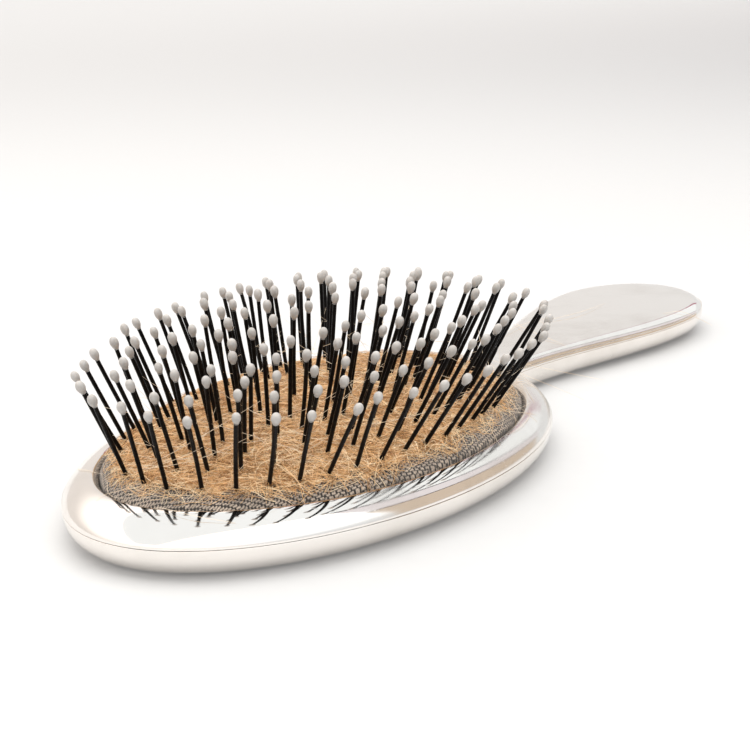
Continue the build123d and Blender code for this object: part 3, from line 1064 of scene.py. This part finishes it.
def glow(name, colour, strength):
    """Plain light-giving surface."""
    material = bpy.data.materials.new(name)
    material.use_nodes = True
    tree = material.node_tree
    tree.nodes.clear()
    light = tree.nodes.new("ShaderNodeEmission")
    light.inputs["Color"].default_value = (*colour, 1)
    light.inputs["Strength"].default_value = strength
    tree.links.new(light.outputs[0], tree.nodes.new("ShaderNodeOutputMaterial").inputs[0])
    return material


def studio_card(name, low, high, start, end, colour, strength, distance=CARD_DISTANCE):
    """Long card parallel to the brush, between two angles above the far side's horizon, in degrees."""
    middle, half = math.radians((low + high) / 2), math.radians((high - low) / 2)
    out = Vector((0, math.cos(middle), math.sin(middle)))
    across = Vector((0, -math.sin(middle), math.cos(middle))) * distance * math.tan(half)
    corners = [Vector((x, 0, 0)) + out * distance + across * side
               for x, side in ((start, -1), (end, -1), (end, 1), (start, 1))]
    card = new_piece(name, corners, [(0, 1, 2, 3)], glow(name, colour, strength), smooth=False)
    card.visible_camera = False


def build_top_light():
    """Soft light straight above. It lights the cushion but doesn't show as a shape in the plating."""
    half, height = TOP_LIGHT_HALF, TOP_LIGHT_HEIGHT
    corners = [(-half, -half, height), (half, -half, height), (half, half, height), (-half, half, height)]
    glowing = glow("top_light", TOP_LIGHT_COLOUR, TOP_LIGHT_STRENGTH)
    light = new_piece("top_light", corners, [(0, 1, 2, 3)], glowing, smooth=False)
    light.visible_camera = False
    light.visible_glossy = False


def toward(tree, ways, axis, span, values):
    """A smooth change of value with direction, along an axis."""
    dot = tree.nodes.new("ShaderNodeVectorMath")
    dot.operation = "DOT_PRODUCT"
    tree.links.new(ways, dot.inputs[0])
    dot.inputs[1].default_value = axis
    change = tree.nodes.new("ShaderNodeMapRange")
    change.interpolation_type = "SMOOTHSTEP"
    tree.links.new(dot.outputs["Value"], change.inputs["Value"])
    for name, value in zip(("From Min", "From Max", "To Min", "To Max"), (*span, *values)):
        change.inputs[name].default_value = value
    return change.outputs[0]


def build_lights():
    world = bpy.data.worlds.new("studio")
    world.use_nodes = True
    sky = world.node_tree.nodes["Background"]
    tree = world.node_tree
    ways = tree.nodes.new("ShaderNodeTexCoord").outputs["Generated"]
    tree.links.new(toward(tree, ways, (-0.3, 0, 1), (0.12, 0.62), (0.90, 1.75)), sky.inputs["Strength"])
    tint = tree.nodes.new("ShaderNodeMix")
    tint.data_type = "RGBA"
    tree.links.new(toward(tree, ways, (0.6, -0.8, 0), (-0.4, 0.8), (0, 1)), tint.inputs[0])
    tint.inputs[6].default_value = (1.0, 0.94, 0.89, 1)
    tint.inputs[7].default_value = (0.95, 0.98, 1.0, 1)
    tree.links.new(tint.outputs[2], sky.inputs["Color"])
    bpy.context.scene.world = world
    for card in STUDIO_CARDS:
        studio_card(*card)


def build_camera():
    azimuth, elevation = math.radians(CAMERA_AZIMUTH), math.radians(CAMERA_ELEVATION)
    back = Vector((math.sin(azimuth) * math.cos(elevation), -math.cos(azimuth) * math.cos(elevation),
                   math.sin(elevation)))
    right = Vector((math.cos(azimuth), math.sin(azimuth), 0))
    turn = Matrix((right, back.cross(right), back)).transposed()
    turn = turn @ Matrix.Rotation(math.radians(CAMERA_ROLL), 3, "Z")
    data = bpy.data.cameras.new("camera")
    data.lens = CAMERA_LENS
    data.sensor_width = 36
    data.clip_start = 0.01
    camera = bpy.data.objects.new("camera", data)
    bpy.context.scene.collection.objects.link(camera)
    camera.matrix_world = Matrix.Translation(CAMERA_AIM + back * CAMERA_DISTANCE) @ turn.to_4x4()
    bpy.context.scene.camera = camera
    bpy.context.scene.view_settings.view_transform = "Standard"


# ---------------------------------------------------------------- the brush
def build_cushion(feet):
    """The cushion with the hair on it."""
    feet_xy = [foot[:2] for foot, _ in feet]
    canvas = build_canvas(feet_xy, canvas_look())
    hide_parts("pad_canvas")
    press_with_cushion(canvas)
    membrane = build_membrane(rubber_look())
    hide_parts("pad_rubber")
    press_with_cushion(membrane)
    press_with_cushion(build_mat_bed(feet_xy, mat_look()))
    shades = [hair_look("hair_tan", (0.92, 0.60, 0.31), (0.74, 0.43, 0.19)),
              hair_look("hair_brown", (0.56, 0.31, 0.13), (0.30, 0.145, 0.055)),
              hair_look("hair_blond", (1.0, 0.83, 0.58), (0.96, 0.68, 0.39))]
    strands = build_mat_strands(feet_xy, shades)
    strands.append(build_border_strands("hair_border_tan", feet_xy, shades[0]))
    strands.append(build_border_strands("hair_border_blond", feet_xy, shades[2]))
    for piece in strands:
        press_with_cushion(piece)
    return canvas


def build_loose_hair(surfaces, feet):
    pale = hair_look("hair_pale", (0.90, 0.78, 0.62), (0.78, 0.60, 0.42))
    tree = surface_of(surfaces)
    still = hair_piece("hair_loose", rim_hairs(tree) + handle_hairs(tree), pale, LOOSE_RADIUS)
    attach(still, "body")
    caught = hair_piece("hair_caught", caught_hairs(CAUGHT_HAIRS, feet), pale, LOOSE_RADIUS)
    press_with_cushion(caught)


def build_brush():
    plating = plated_look()
    front = front_shell_mesh(plating)
    back_shell_mesh(plating)
    feet = build_bristles(nylon_look(), resin_look())
    canvas = build_cushion(feet)
    build_loose_hair([front, canvas], feet)
    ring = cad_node("pad_clamp_ring")
    ring.data.materials.clear()
    ring.data.materials.append(clamp_look())


build_brush()
build_floor()
build_lights()
build_top_light()
build_camera()
